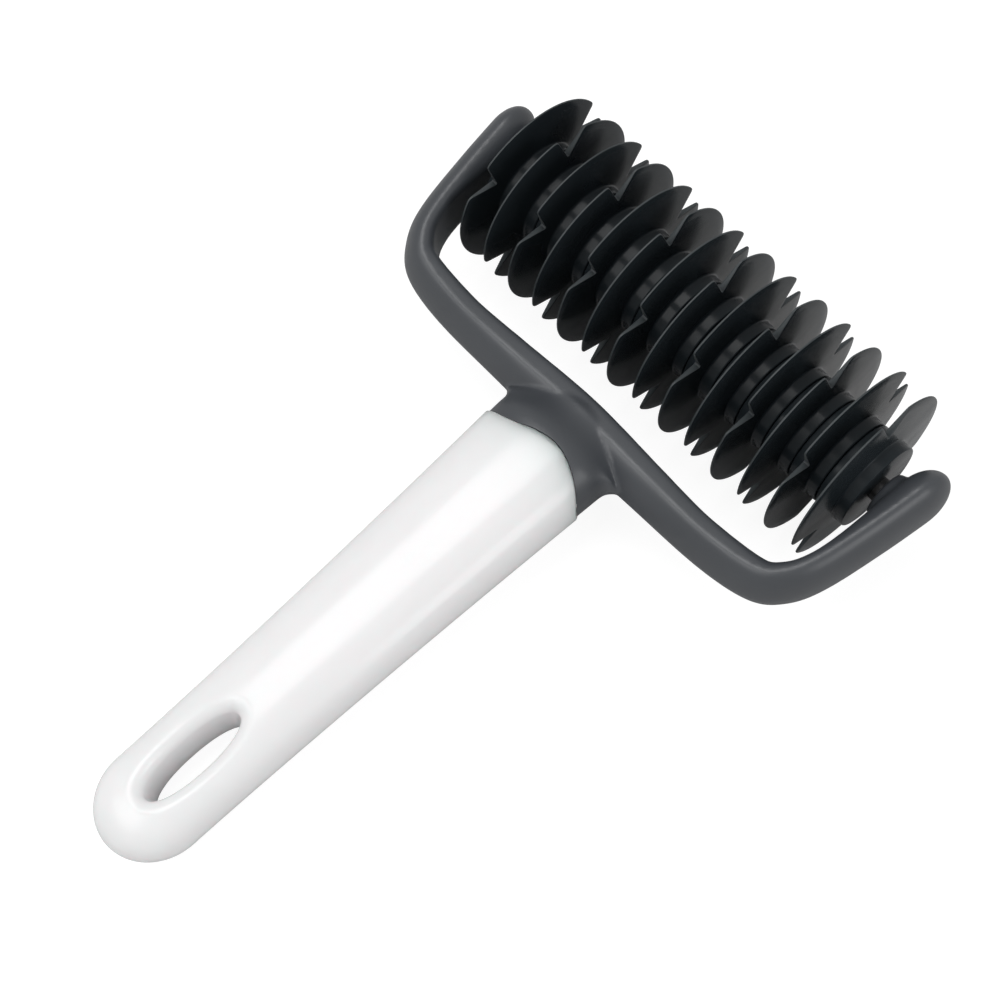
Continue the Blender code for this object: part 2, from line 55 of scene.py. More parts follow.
# Roller
DISC_COUNT = 14
DISC_PITCH = 7.57 * MM
ROLLER_HALF_LENGTH = DISC_COUNT * DISC_PITCH / 2
DISC_RADIUS = 21.0 * MM
RIM_THICKNESS = 0.36 * MM
WEB_FOOT_THICKNESS = 2.1 * MM
COLLAR_RADIUS = 10.4 * MM
COLLAR_GAP = 0.22 * MM
COLLAR_EDGE = 0.3 * MM
WEB_FILLET = 0.5 * MM
RIM_EDGE = 0.09 * MM
RIM_STEPS = 26
WEB_STEPS = 5
EDGE_STEPS = 3
RIM_EDGE_STEPS = 2

NOTCH_COUNT = 3
NOTCH_HALF_ANGLE = math.radians(11)
NOTCH_ROOT_RADIUS = 14.5 * MM
NOTCH_ROOT_WIDTH = 0.4 * MM
NOTCH_CORNER = 1.0 * MM
NOTCH_CORNER_STEPS = 4
FIRST_NOTCH = math.radians(13.2)
DISC_TURN = math.pi / NOTCH_COUNT

# Axle
JOURNAL_RADIUS = 2.7 * MM
JOURNAL_CHAMFER = 0.5 * MM
JOURNAL_SEAT = 3.4 * MM
CORE_RADIUS = 4.6 * MM
AXLE_SIDES = 64

# Yoke: the ridge line runs along the crossbar, round a corner and up each arm. Each inset is
# measured inward from the arm's end
BAR_MIDDLE_Y = -32.5 * MM
BAR_QUARTER_INSET = 39.9 * MM
BAR_QUARTER_Y = -33.15 * MM
BAR_END_INSET = 23.9 * MM
BAR_END_Y = -33.35 * MM
CORNER_START_INSET = 11.8 * MM
CORNER_START_Y = -31.6 * MM
CORNER_INSET = 7.0 * MM
CORNER_Y = -28.0 * MM
CORNER_END_INSET = 4.1 * MM
CORNER_END_Y = -21.3 * MM
ARM_MIDDLE_INSET = 1.55 * MM
ARM_MIDDLE_Y = -8.0 * MM
ARM_END_GAP = 6.91 * MM
ARM_END_X = ROLLER_HALF_LENGTH + ARM_END_GAP
ARM_END_Y = 2.6 * MM
RIDGE = (
    (0, BAR_MIDDLE_Y),
    (ARM_END_X - BAR_QUARTER_INSET, BAR_QUARTER_Y),
    (ARM_END_X - BAR_END_INSET, BAR_END_Y),
    (ARM_END_X - CORNER_START_INSET, CORNER_START_Y),
    (ARM_END_X - CORNER_INSET, CORNER_Y),
    (ARM_END_X - CORNER_END_INSET, CORNER_END_Y),
    (ARM_END_X - ARM_MIDDLE_INSET, ARM_MIDDLE_Y),
    (ARM_END_X, ARM_END_Y),
)
TIP_LENGTH = 8.2 * MM
BAR_SPANS = 2
CORNER_SPANS = 3
ARM_SPANS = 2
SPAN_STEPS = 8
TIP_STEPS = 12
TIP_BLUNTNESS = 0.35

# Yoke section, measured from the ridge line
BAR_INNER_MIDDLE = 4.3 * MM
BAR_INNER_CORNER = 3.6 * MM
BAR_OUTER_MIDDLE = 5.7 * MM
BAR_OUTER_CORNER = 4.55 * MM
BAR_HALF_HEIGHT = 6.9 * MM
ARM_INNER = 1.75 * MM
TIP_INNER = 4.2 * MM
ARM_OUTER = 4.55 * MM
ARM_HALF_HEIGHT = 7.4 * MM
TIP_HALF_HEIGHT = 8.2 * MM
BAR_RISE = -0.4 * MM
ARM_RISE = 1.0 * MM
BAR_OUTER_ROUNDNESS = 1.35
ARM_OUTER_ROUNDNESS = 1.95
BAR_INNER_SLOPE_SHARE = 0.2
ARM_INNER_SLOPE_SHARE = 0.35
BAR_INNER_EDGE = 1.4 * MM
ARM_INNER_EDGE = 4.0 * MM
INNER_EDGE_SHARE = 0.95
OUTER_POINTS = 14
INNER_EDGE_POINTS = 7

# Boss that carries the journal on each arm's inner side
BOSS_GAP = 0.81 * MM
BOSS_FACE_X = ROLLER_HALF_LENGTH + BOSS_GAP
BOSS_FACE_RADIUS = 4.7 * MM
BOSS_EDGE = 0.5 * MM
BOSS_NECK_DEPTH = 1.4 * MM
BOSS_NECK_X = BOSS_FACE_X + BOSS_NECK_DEPTH
BOSS_NECK_RADIUS = 5.4 * MM
BOSS_FOOT_DEPTH = 4.8 * MM
BOSS_FOOT_X = BOSS_FACE_X + BOSS_FOOT_DEPTH
BOSS_FOOT_RADIUS = 7.4 * MM
BOSS_SIDES = 64
BEARING_GAP = 0.25 * MM

# Neck between the crossbar and the handle
NECK_NOSE_Y = -29.6 * MM
NECK_NOSE_HALF_HEIGHT = 6.1 * MM
NECK_FRONT_Y = -32.0 * MM
NECK_FULL_Y = -43.0 * MM
NECK_FRONT_HALF_HEIGHT = 7.5 * MM
NECK_FRONT_ROUNDNESS = 1.7
NECK_FILLET = 3.0 * MM
NECK_FILLET_FADE = 8
NECK_INSET = 0.5 * MM
NECK_STEPS = 40

# Skin that joins the yoke's forms
SKIN_SIZE = 0.36 * MM
SKIN_SMOOTHINGS = 14
SKIN_SMOOTHING_SHARE = 0.5

# Handle
HANDLE_FRONT_Y = -39.0 * MM
HANDLE_CAP_Y = -147.2 * MM
HANDLE_CAP_LENGTH = 12.4 * MM
HANDLE_FRONT_HALF_WIDTH = 15.1 * MM
HANDLE_TAIL_HALF_WIDTH = 11.4 * MM
HANDLE_TAPER_POWER = 1.5
HANDLE_THICKNESS_SHARE = 0.67
HANDLE_RISE_FRONT = 1.1 * MM
HANDLE_RISE_TAIL = 2.2 * MM
HANDLE_ROUNDNESS = 2.3
HANDLE_SIDES = 128
HANDLE_STEPS = 90
CAP_STEPS = 28
FITTING_ROUNDS = 3
FRONT_EDGE = 0.25 * MM

# Parting line between the neck and the handle, seen from above, as points across the handle
# and how far each one lies behind the foremost
PARTING_FRONT_Y = -42.2 * MM
PARTING_ACROSS_SHARES = (-1, -0.66, -0.4, -0.13, 0.15, 0.4, 0.65, 0.85, 1)
PARTING_DEPTH = 6.4 * MM
PARTING_PARTS = 64
PARTING_BACK_SHARES = tuple(part / PARTING_PARTS for part in (35, 32, 24, 9, 0, 4, 19, 39, 64))
PARTING_STEPS = 8
PARTING_GAP = 0.16 * MM
NECK_END_Y = PARTING_FRONT_Y - PARTING_DEPTH - OVERRUN

# Hanging hole
HOLE_Y = -136.3 * MM
HOLE_HALF_LENGTH = 11.8 * MM
HOLE_HALF_WIDTH = 3.6 * MM
HOLE_ROUNDNESS = 2.2
HOLE_EDGE = 3.4 * MM
HOLE_DRAFT = 0.7 * MM
HOLE_LOWER_INSET = 0.3 * MM
HOLE_SIDES = 96
HOLE_EDGE_STEPS = 10

SMOOTH_ANGLE = math.radians(35)

# Camera
CAMERA_PLACE = (0.12171, -0.10014, 0.36651)
CAMERA_TIP = math.radians(25.395)
CAMERA_TURN = math.radians(47.266)
SENSOR_WIDTH = 36
CAMERA_LENS = 69.069
CAMERA_CLIP_START = 10 * MM

# Lamps: name, direction from the tool, width and height, power in watts
LAMP_DISTANCE = 0.9
LAMPS = (
    ("softbox_above", (-0.22, 0.04, 0.97), (0.5, 0.5), 2.6),
    ("softbox_front", (-0.26, -0.64, 0.72), (0.55, 0.5), 1.9),
    ("softbox_right", (0.74, 0.16, 0.5), (0.4, 0.4), 1.2),
)

# World and floor: what lights the tool, and the white that the camera sees
WORLD_STRENGTH = 0.48
WORLD_STRENGTH_SEEN = 1
FLOOR_SIZE = 3.0
FLOOR_DROP = 0.02 * MM
FLOOR_COLOURS = ((0.6, 0.6, 0.6), (0.62, 0.62, 0.62))
FLOOR_COLOUR_SEEN = (0.22, 0.22, 0.22)
FLOOR_GLOW_SEEN = 0.9
FLOOR_ROUGHNESS = 0.9
FLOOR_GRAIN = 0.01 * MM

# Noise stays mostly between these two values
NOISE_LOW = 0.3
NOISE_HIGH = 0.7

# Surface noises as (features per metre, detail)
TONE_NOISE = (45, 3)
SMEAR_NOISE = (160, 5)
SMEAR_STRETCH = (1, 0.3, 1)
WAVE_NOISE = (90, 1)
GRAIN_NOISE = (4200, 2)
PAPER_TONE_NOISE = (30, 2)
PAPER_GRAIN_NOISE = (2000, 2)

# Height of the fine grain and of the slight waviness on each plastic
YOKE_GRAIN = 0.004 * MM
YOKE_WAVINESS = 0.03 * MM
HANDLE_GRAIN = 0.0008 * MM
DISC_GRAIN = 0.0003 * MM
RIM_GRAIN = 0.004 * MM
AXLE_GRAIN = 0.002 * MM
GLOSS_WAVINESS = 0.02 * MM

# Depth to which light wanders in the white plastic, and its reach in red, green and blue
WHITE_DEPTH = 10 * MM
WHITE_REACH = (1, 0.86, 0.88)


def between(low, high, share):
    return low + (high - low) * share


def ease(share):
    share = min(max(share, 0), 1)
    return share * share * (3 - 2 * share)


def turns(count):
    return [2 * math.pi * step / count for step in range(count)]


def superellipse(turn, half_width, half_height, power):
    across = math.copysign(abs(math.cos(turn)) ** (2 / power), math.cos(turn))
    up = math.copysign(abs(math.sin(turn)) ** (2 / power), math.sin(turn))
    return half_width * across, half_height * up


def ring_x(x, radius, count):
    """A circle about the X axis."""
    return [(x, radius * math.cos(turn), radius * math.sin(turn)) for turn in turns(count)]


def flipped(rings):
    """The same rings on the tool's other side."""
    return [[(-x, y, z) for x, y, z in ring] for ring in rings]


def loft(rings):
    """A closed skin through rings that all have the same number of points."""
    sheet = bmesh.new()
    rows = [[sheet.verts.new(point) for point in ring] for ring in rings]
    count = len(rows[0])
    for low, high in zip(rows, rows[1:]):
        for here in range(count):
            after = (here + 1) % count
            sheet.faces.new((low[here], low[after], high[after], high[here]))
    sheet.faces.new(rows[0])
    sheet.faces.new(rows[-1])
    return sheet


def prism(outline, travel):
    """A flat outline drawn out along a vector."""
    far = [tuple(here + step for here, step in zip(point, travel)) for point in outline]
    return loft([outline, far])


def mesh_of(name, sheet):
    """The bmesh as a mesh with outward faces, smooth except at clear edges."""
    bmesh.ops.recalc_face_normals(sheet, faces=sheet.faces)
    made = bpy.data.meshes.new(name)
    sheet.to_mesh(made)
    sheet.free()
    made.shade_smooth()
    made.set_sharp_from_angle(angle=SMOOTH_ANGLE)
    return made


def tool_matrix():
    return Matrix.Translation((0, AXLE_Y, AXLE_Z)) @ Matrix.Rotation(TILT, 4, "X")


def put(name, mesh, matrix):
    """An object whose place is in its mesh."""
    mesh.transform(matrix)
    made = bpy.data.objects.new(name, mesh)
    bpy.context.scene.collection.objects.link(made)
    return made


def combine(target, other, operation):
    step = target.modifiers.new(f"{operation.lower()} {other.name}", "BOOLEAN")
    step.operation = operation
    step.object = other
    step.solver = "EXACT"


def settle(piece, helpers=()):
    """The piece with its modifiers worked into its mesh, and its helpers gone."""
    bpy.context.view_layer.update()
    ready = piece.evaluated_get(bpy.context.evaluated_depsgraph_get())
    mesh = bpy.data.meshes.new_from_object(ready)
    mesh.name = piece.name
    piece.modifiers.clear()
    piece.data = mesh
    for helper in helpers:
        bpy.data.objects.remove(helper, do_unlink=True)
    mesh.shade_smooth()
    mesh.set_sharp_from_angle(angle=SMOOTH_ANGLE)
    return piece


def web_half_thickness(radius):
    """The web thins evenly from its foot on the collar to the rim."""
    share = (radius - COLLAR_RADIUS) / (DISC_RADIUS - COLLAR_RADIUS)
    return between(WEB_FOOT_THICKNESS, RIM_THICKNESS, share) / 2


def notch_side():
    """One side of a notch, from its root out to the rim, round the corner."""
    root = NOTCH_ROOT_WIDTH / 2 / NOTCH_ROOT_RADIUS
    corner = Vector((math.cos(NOTCH_HALF_ANGLE), math.sin(NOTCH_HALF_ANGLE))) * DISC_RADIUS
    inner = Vector((math.cos(root), math.sin(root))) * NOTCH_ROOT_RADIUS
    wall = corner + (inner - corner).normalized() * NOTCH_CORNER
    past = NOTCH_HALF_ANGLE + NOTCH_CORNER / DISC_RADIUS
    rim = Vector((math.cos(past), math.sin(past))) * DISC_RADIUS
    points = [inner, (inner + wall) / 2]
    for step in range(NOTCH_CORNER_STEPS + 1):
        share = step / NOTCH_CORNER_STEPS
        rest = 1 - share
        points.append(wall * rest * rest + corner * 2 * share * rest + rim * share * share)
    return points


def notched_outline():
    """One disc's rim as points of its plane, notch by notch."""
    side = notch_side()
    turned = [Vector((point.x, -point.y)) for point in reversed(side)]
    first = math.atan2(side[-1].y, side[-1].x)
    last = 2 * math.pi / NOTCH_COUNT - first
    third = turned + side
    for step in range(1, RIM_STEPS):
        turn = between(first, last, step / RIM_STEPS)
        third.append(Vector((math.cos(turn), math.sin(turn))) * DISC_RADIUS)
    outline = []
    for notch in range(NOTCH_COUNT):
        turn = Matrix.Rotation(notch * 2 * math.pi / NOTCH_COUNT, 2)
        outline += [turn @ point for point in third]
    return outline


def inset(outline, depth):
    """The outline moved square to itself, inwards."""
    count = len(outline)
    moved = []
    for index, point in enumerate(outline):
        along = outline[(index + 1) % count] - outline[index - 1]
        along.normalize()
        moved.append(point + Vector((-along.y, along.x)) * depth)
    return moved


def quarter(steps):
    return [math.pi / 2 * step / steps for step in range(steps + 1)]


def collar_profile():
    """(x, radius) from the collar's end over its edge, then down the fillet to the web."""
    end = (DISC_PITCH - COLLAR_GAP) / 2
    foot = COLLAR_RADIUS + WEB_FILLET
    profile = []
    for turn in quarter(EDGE_STEPS):
        x = end - COLLAR_EDGE * (1 - math.cos(turn))
        profile.append((x, COLLAR_RADIUS - COLLAR_EDGE * (1 - math.sin(turn))))
    for turn in quarter(EDGE_STEPS):
        x = web_half_thickness(foot) + WEB_FILLET * (1 - math.sin(turn))
        profile.append((x, foot - WEB_FILLET * math.cos(turn)))
    return profile


def web_rows(outline, rays):
    """Rows of (x, point) across the web, from the fillet to the rim's rounded edge."""
    foot = [ray * (COLLAR_RADIUS + WEB_FILLET) for ray in rays]
    edge = inset(outline, RIM_EDGE)
    rows = []
    for step in range(1, WEB_STEPS + 1):
        row = [start.lerp(end, step / WEB_STEPS) for start, end in zip(foot, edge)]
        rows.append([(web_half_thickness(point.length), point) for point in row])
    for turn in quarter(RIM_EDGE_STEPS)[1:]:
        row = inset(outline, RIM_EDGE * (1 - math.sin(turn)))
        thinner = RIM_EDGE * (1 - math.cos(turn))
        rows.append([(web_half_thickness(point.length) - thinner, point) for point in row])
    return rows


def disc_mesh(surface, rim_surface):
    """A notched web that tapers to a thin rim, whose rounded edge is painted lighter as a painted
    highlight, with a round-edged collar on both sides.
    """
    outline = notched_outline()
    rays = [point.normalized() for point in outline]
    rows = [[(x, ray * radius) for ray in rays] for x, radius in collar_profile()]
    rows += web_rows(outline, rays)
    mirrored = [[(-x, point) for x, point in row] for row in reversed(rows)]
    rings = [[(x, point.x, point.y) for x, point in row] for row in rows + mirrored]
    mesh = mesh_of("cutter_disc", loft(rings))
    mesh.materials.append(surface)
    mesh.materials.append(rim_surface)
    for face in mesh.polygons:
        # The rim's rounded edge takes the second, lighter material: a painted highlight
        if abs(face.index // len(outline) - len(rows) + 1) <= RIM_EDGE_STEPS:
            face.material_index = 1
    return mesh


def build_discs(surface, rim_surface):
    mesh = disc_mesh(surface, rim_surface)
    for index in range(DISC_COUNT):
        x = ROLLER_SHIFT + (index + 0.5) * DISC_PITCH - ROLLER_HALF_LENGTH
        turn = Matrix.Rotation(FIRST_NOTCH + (index % 2) * DISC_TURN, 4, "X")
        name = f"cutter_disc_{index + 1:02d}"
        spot = tool_matrix() @ Matrix.Translation((x, 0, 0)) @ turn
        disc = put(f"{name}_moulding", mesh.copy(), spot)
        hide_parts(name)
        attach(disc, "roller")


def build_axle(surface):
    """The core between the end discs and a round journal at each end."""
    core_half = ROLLER_HALF_LENGTH - COLLAR_GAP
    journal_half = BOSS_FACE_X + JOURNAL_SEAT
    half = [
        ring_x(journal_half, JOURNAL_RADIUS - JOURNAL_CHAMFER, AXLE_SIDES),
        ring_x(journal_half - JOURNAL_CHAMFER, JOURNAL_RADIUS, AXLE_SIDES),
        ring_x(core_half, JOURNAL_RADIUS, AXLE_SIDES),
        ring_x(core_half, CORE_RADIUS, AXLE_SIDES),
    ]
    mesh = mesh_of("roller_axle", loft(half + flipped(reversed(half))))
    mesh.materials.append(surface)
    spot = tool_matrix() @ Matrix.Translation((ROLLER_SHIFT, 0, 0))
    axle = put("roller_axle_moulding", mesh, spot)
    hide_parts("roller_axle")
    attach(axle, "roller")


def smooth_line(points, steps):
    """A smooth line through points, with straight ends."""
    padded = [points[0], *points, points[-1]]
    line = [points[0]]
    for before, start, end, after in zip(padded, padded[1:], padded[2:], padded[3:]):
        for step in range(1, steps + 1):
            share = step / steps
            leave = (end - before) * share * (1 - share) ** 2 / 2
            arrive = (after - start) * share**2 * (1 - share) / 2
            line.append(between(start, end, ease(share)) + leave - arrive)
    return line


def yoke_section(inner, outer, half_height, roundness, slope_share, edge):
    """The closed section as (outward, up), from the ridge over the outer side and back."""
    upper = []
    for step in range(OUTER_POINTS):
        turn = math.pi / 2 * (1 - step / (OUTER_POINTS - 1))
        upper.append(superellipse(turn, outer, half_height, roundness))
    radius = min(edge, INNER_EDGE_SHARE * inner)
    shoulder = half_height - slope_share * inner
    corner = []
    for step in range(INNER_EDGE_POINTS):
        share = step / (INNER_EDGE_POINTS - 1)
        rest = 1 - share
        up = shoulder + radius * (share * share * slope_share - rest * rest)
        corner.append((-inner + radius * share * share, up))
    lower = [(across, -up) for across, up in reversed(upper[:-1])]
    lower_corner = [(across, -up) for across, up in reversed(corner)]
    return upper + lower + lower_corner + corner


def section_ring(point, outward, section, rise, shrink=1):
    """A section stood on the ridge line, shrunk about its own middle for the rounded tip."""
    sides = [across for across, up in section]
    middle = (max(sides) + min(sides)) / 2
    ring = []
    for across, up in section:
        out = middle + (across - middle) * shrink
        ring.append((point.x + outward.x * out, point.y + outward.y * out, rise + up * shrink))
    return ring


def yoke_half_rings():
    """Section rings from the crossbar's middle to one tip."""
    ridge = [Vector(point) for point in RIDGE]
    left_of_middle = Vector((-ridge[1].x, ridge[1].y))
    line = smooth_line([left_of_middle, *ridge], SPAN_STEPS)[SPAN_STEPS:]
    rings = []
    for index, point in enumerate(line):
        along = line[min(index + 1, len(line) - 1)] - line[max(index - 1, 0)]
        if index == 0:
            along.y = 0
        along.normalize()
        outward = Vector((along.y, -along.x))
        spans = index / SPAN_STEPS
        bar = ease(spans / BAR_SPANS)
        round_corner = ease((spans - BAR_SPANS) / CORNER_SPANS)
        climb = max(spans - BAR_SPANS - CORNER_SPANS, 0) / ARM_SPANS
        inner = between(BAR_INNER_MIDDLE, BAR_INNER_CORNER, bar)
        inner = between(between(inner, ARM_INNER, round_corner), TIP_INNER, ease(climb))
        outer = between(between(BAR_OUTER_MIDDLE, BAR_OUTER_CORNER, bar), ARM_OUTER, round_corner)
        height = between(BAR_HALF_HEIGHT, ARM_HALF_HEIGHT, round_corner)
        slope_share = between(BAR_INNER_SLOPE_SHARE, ARM_INNER_SLOPE_SHARE, round_corner)
        height = between(height, TIP_HALF_HEIGHT, climb)
        edge = between(BAR_INNER_EDGE, ARM_INNER_EDGE, round_corner)
        roundness = between(BAR_OUTER_ROUNDNESS, ARM_OUTER_ROUNDNESS, round_corner)
        section = yoke_section(inner, outer, height, roundness, slope_share, edge)
        rise = between(BAR_RISE, ARM_RISE, round_corner)
        rings.append(section_ring(point, outward, section, rise))
    for step in range(1, TIP_STEPS + 1):
        turn = math.pi / 2 * step / (TIP_STEPS + TIP_BLUNTNESS)
        end = point + along * TIP_LENGTH * math.sin(turn)
        rings.append(section_ring(end, outward, section, rise, math.cos(turn)))
    return rings


def bow_sheet():
    """Crossbar and arms as one bent bar, from tip to tip."""
    right = yoke_half_rings()
    return loft(flipped(reversed(right[1:])) + right)


def boss_rings():
    return [
        ring_x(BOSS_FACE_X, BOSS_FACE_RADIUS, BOSS_SIDES),
        ring_x(BOSS_FACE_X + BOSS_EDGE, BOSS_FACE_RADIUS + BOSS_EDGE, BOSS_SIDES),
        ring_x(BOSS_NECK_X, BOSS_NECK_RADIUS, BOSS_SIDES),
        ring_x(BOSS_FOOT_X, BOSS_FOOT_RADIUS, BOSS_SIDES),
    ]


def handle_share(y):
    """0 at the handle's front, 1 where its end cap begins."""
    return (y - HANDLE_FRONT_Y) / (HANDLE_CAP_Y - HANDLE_FRONT_Y)


def handle_half_width(y):
    rest = max(1 - handle_share(y), 0)
    flare = min(rest, 1) ** HANDLE_TAPER_POWER
    return between(HANDLE_TAIL_HALF_WIDTH, HANDLE_FRONT_HALF_WIDTH, flare)


def handle_rise(y):
    return between(HANDLE_RISE_FRONT, HANDLE_RISE_TAIL, handle_share(y))


def grip_ring(y, half_width, half_height, rise, power, count):
    ring = []
    for turn in turns(count):
        across, up = superellipse(turn, half_width, half_height, power)
        ring.append((across, y, rise + up))
    return ring


def fillet_share(across):
    """The fillet widens the neck's sides only, and fades out towards its top."""
    return math.copysign(abs(across) ** NECK_FILLET_FADE, across)


def neck_rings():
    """Rings that rise from inside the crossbar, with a fillet, to the handle's own section."""
    nose_half_width = HANDLE_FRONT_HALF_WIDTH - NECK_INSET
    nose = (NECK_NOSE_Y, nose_half_width, NECK_NOSE_HALF_HEIGHT, BAR_RISE, NECK_FRONT_ROUNDNESS)
    rings = [grip_ring(*nose, HANDLE_SIDES)]
    face_y = BAR_MIDDLE_Y - BAR_OUTER_MIDDLE
    for step in range(NECK_STEPS + 1):
        y = between(NECK_FRONT_Y, NECK_END_Y, step / NECK_STEPS)
        grow = ease((y - NECK_FRONT_Y) / (NECK_FULL_Y - NECK_FRONT_Y))
        roundness = between(NECK_FRONT_ROUNDNESS, HANDLE_ROUNDNESS, grow)
        away = min(abs(face_y - y), NECK_FILLET)
        flare = NECK_FILLET - math.sqrt(NECK_FILLET**2 - (NECK_FILLET - away) ** 2)
        half_width = handle_half_width(y) - NECK_INSET
        full_height = handle_half_width(y) * HANDLE_THICKNESS_SHARE
        half_height = between(NECK_FRONT_HALF_HEIGHT, full_height, grow)
        rise = between(BAR_RISE, handle_rise(y), grow)
        ring = grip_ring(y, half_width, half_height, rise, roundness, HANDLE_SIDES)
        rings.append([(x + flare * fillet_share(x / half_width), y, z) for x, y, z in ring])
    return rings


def parting_line():
    """The parting line, left to right, past both sides of the handle."""
    points = [
        Vector((across * HANDLE_FRONT_HALF_WIDTH, PARTING_FRONT_Y - back * PARTING_DEPTH))
        for across, back in zip(PARTING_ACROSS_SHARES, PARTING_BACK_SHARES)
    ]
    line = smooth_line(points, PARTING_STEPS)
    left = Vector((line[0].x - OVERRUN, line[0].y))
    right = Vector((line[-1].x + OVERRUN, line[-1].y))
    return [left, *line, right]


def parting_y(line, x):
    """How far forward the parting line stands at a width."""
    for start, end in zip(line, line[1:]):
        if x <= end.x:
            break
    return between(start.y, end.y, (x - start.x) / (end.x - start.x))


def rear_block():
    """All that lies behind the parting line, with the seam's width left open."""
    reach = HANDLE_FRONT_HALF_WIDTH + OVERRUN
    line = parting_line()
    far_y = NECK_END_Y - OVERRUN
    outline = [(point.x, point.y + PARTING_GAP, -reach) for point in line]
    outline += [(line[-1].x, far_y, -reach), (line[0].x, far_y, -reach)]
    return prism(outline, (0, 0, 2 * reach))


def bearing_rings():
    radius = JOURNAL_RADIUS + BEARING_GAP
    floor_x = BOSS_FACE_X + JOURNAL_SEAT + abs(ROLLER_SHIFT) + BEARING_GAP
    return [
        ring_x(BOSS_FACE_X - OVERRUN, radius, AXLE_SIDES),
        ring_x(floor_x, radius, AXLE_SIDES),
    ]


def build_yoke(surface):
    """Bow, bosses and neck under one smooth skin, then cut at the handle and at the bearings."""
    whole = bmesh.new()
    bosses = (loft(boss_rings()), loft(flipped(boss_rings())))
    for form in (bow_sheet(), loft(neck_rings()), *bosses):
        mesh = mesh_of("yoke_form", form)
        whole.from_mesh(mesh)
        bpy.data.meshes.remove(mesh)
    yoke = put("yoke_moulding", mesh_of("yoke_moulding", whole), tool_matrix())
    skin = yoke.modifiers.new("skin", "REMESH")
    skin.mode = "VOXEL"
    skin.voxel_size = SKIN_SIZE
    skin.adaptivity = 0
    soften = yoke.modifiers.new("soften", "SMOOTH")
    soften.factor = SKIN_SMOOTHING_SHARE
    soften.iterations = SKIN_SMOOTHINGS
    cutters = [
        put("behind_parting", mesh_of("behind_parting", rear_block()), tool_matrix()),
        put("bearing_right", mesh_of("bearing_right", loft(bearing_rings())), tool_matrix()),
        put("bearing_left", mesh_of("bearing_left", loft(flipped(bearing_rings()))), tool_matrix()),
    ]
    for cutter in cutters:
        combine(yoke, cutter, "DIFFERENCE")
    settle(yoke, cutters)
    yoke.data.materials.clear()
    yoke.data.materials.append(surface)
    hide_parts("yoke_frame")
    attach(yoke, "yoke_and_handle")


def handle_body_ring(line, share, shrink, back):
    """A ring whose points stand at a share of the way from the parting line to the end cap.

    A point's width depends on its place along the handle and the other way round, so the two
    are worked out in a few rounds.
    """
    ring = []
    for turn in turns(HANDLE_SIDES):
        y = PARTING_FRONT_Y
        for _ in range(FITTING_ROUNDS):
            half_width = handle_half_width(y) - shrink
            half_height = handle_half_width(y) * HANDLE_THICKNESS_SHARE - shrink
            x, up = superellipse(turn, half_width, half_height, HANDLE_ROUNDNESS)
            y = between(parting_y(line, x) - back, HANDLE_CAP_Y, share)
        ring.append((x, y, handle_rise(y) + up))
    return ring


def handle_rings():
    """Rings from the front's rounded edge to the rounded tail."""
    line = parting_line()
    rings = []
    for step in range(EDGE_STEPS + 1):
        turn = math.pi / 2 * step / EDGE_STEPS
        shrink = FRONT_EDGE * (1 - math.sin(turn))
        back = FRONT_EDGE * (1 - math.cos(turn))
        rings.append(handle_body_ring(line, 0, shrink, back))
    for step in range(1, HANDLE_STEPS + 1):
        rings.append(handle_body_ring(line, step / HANDLE_STEPS, 0, FRONT_EDGE))
    for step in range(1, CAP_STEPS + 1):
        turn = math.pi / 2 * step / (CAP_STEPS + TIP_BLUNTNESS)
        y = HANDLE_CAP_Y - HANDLE_CAP_LENGTH * math.sin(turn)
        half_width = handle_half_width(y) * math.cos(turn)
        height = half_width * HANDLE_THICKNESS_SHARE
        rings.append(grip_ring(y, half_width, height, handle_rise(y), HANDLE_ROUNDNESS, HANDLE_SIDES))
    return rings


def hole_outline(grown):
    points = []
    for turn in turns(HOLE_SIDES):
        x, along = superellipse(turn, HOLE_HALF_WIDTH + grown, HOLE_HALF_LENGTH + grown, HOLE_ROUNDNESS)
        points.append((x, HOLE_Y + along))
    return points


def handle_top(x, y):
    """How far the handle's surface stands above its own middle at a point of its plan."""
    along = max(HANDLE_CAP_Y - y, 0) / HANDLE_CAP_LENGTH
    half_width = handle_half_width(y) * math.sqrt(max(1 - along * along, 0))
    side = min(abs(x) / half_width, 1) ** HANDLE_ROUNDNESS
    return half_width * HANDLE_THICKNESS_SHARE * (1 - side) ** (1 / HANDLE_ROUNDNESS)


def hole_half_rings(inset):
    """From the narrow waist at mid height out to an edge that rounds over to the surface."""
    rings = [[(x, y, 0) for x, y in hole_outline(-HOLE_DRAFT)]]
    for step in range(HOLE_EDGE_STEPS + 1):
        turn = math.pi / 2 * step / HOLE_EDGE_STEPS
        grown = HOLE_EDGE * (1 - math.cos(turn)) - inset
        depth = HOLE_EDGE * (1 - math.sin(turn))
        rings.append([(x, y, handle_top(x, y) - depth) for x, y in hole_outline(grown)])
    rings.append([(x, y, z + OVERRUN) for x, y, z in rings[-1]])
    return rings


def hanging_hole_rings():
    """The lower half is a little narrower than the upper one."""
    upper = hole_half_rings(0)
    lower = [[(x, y, -z) for x, y, z in ring] for ring in hole_half_rings(HOLE_LOWER_INSET)]
    rings = list(reversed(lower[1:])) + upper
    return [[(x, y, handle_rise(y) + z) for x, y, z in ring] for ring in rings]


def build_handle(surface):
    handle = put("handle_moulding", mesh_of("handle_moulding", loft(handle_rings())), tool_matrix())
    hole = put("hanging_hole", mesh_of("hanging_hole", loft(hanging_hole_rings())), tool_matrix())
    combine(handle, hole, "DIFFERENCE")
    settle(handle, [hole])
    for vertex in handle.data.vertices:
        vertex.co.z = max(vertex.co.z, 0)
    handle.data.materials.clear()
    handle.data.materials.append(surface)
    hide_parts("handle")
    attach(handle, "yoke_and_handle")


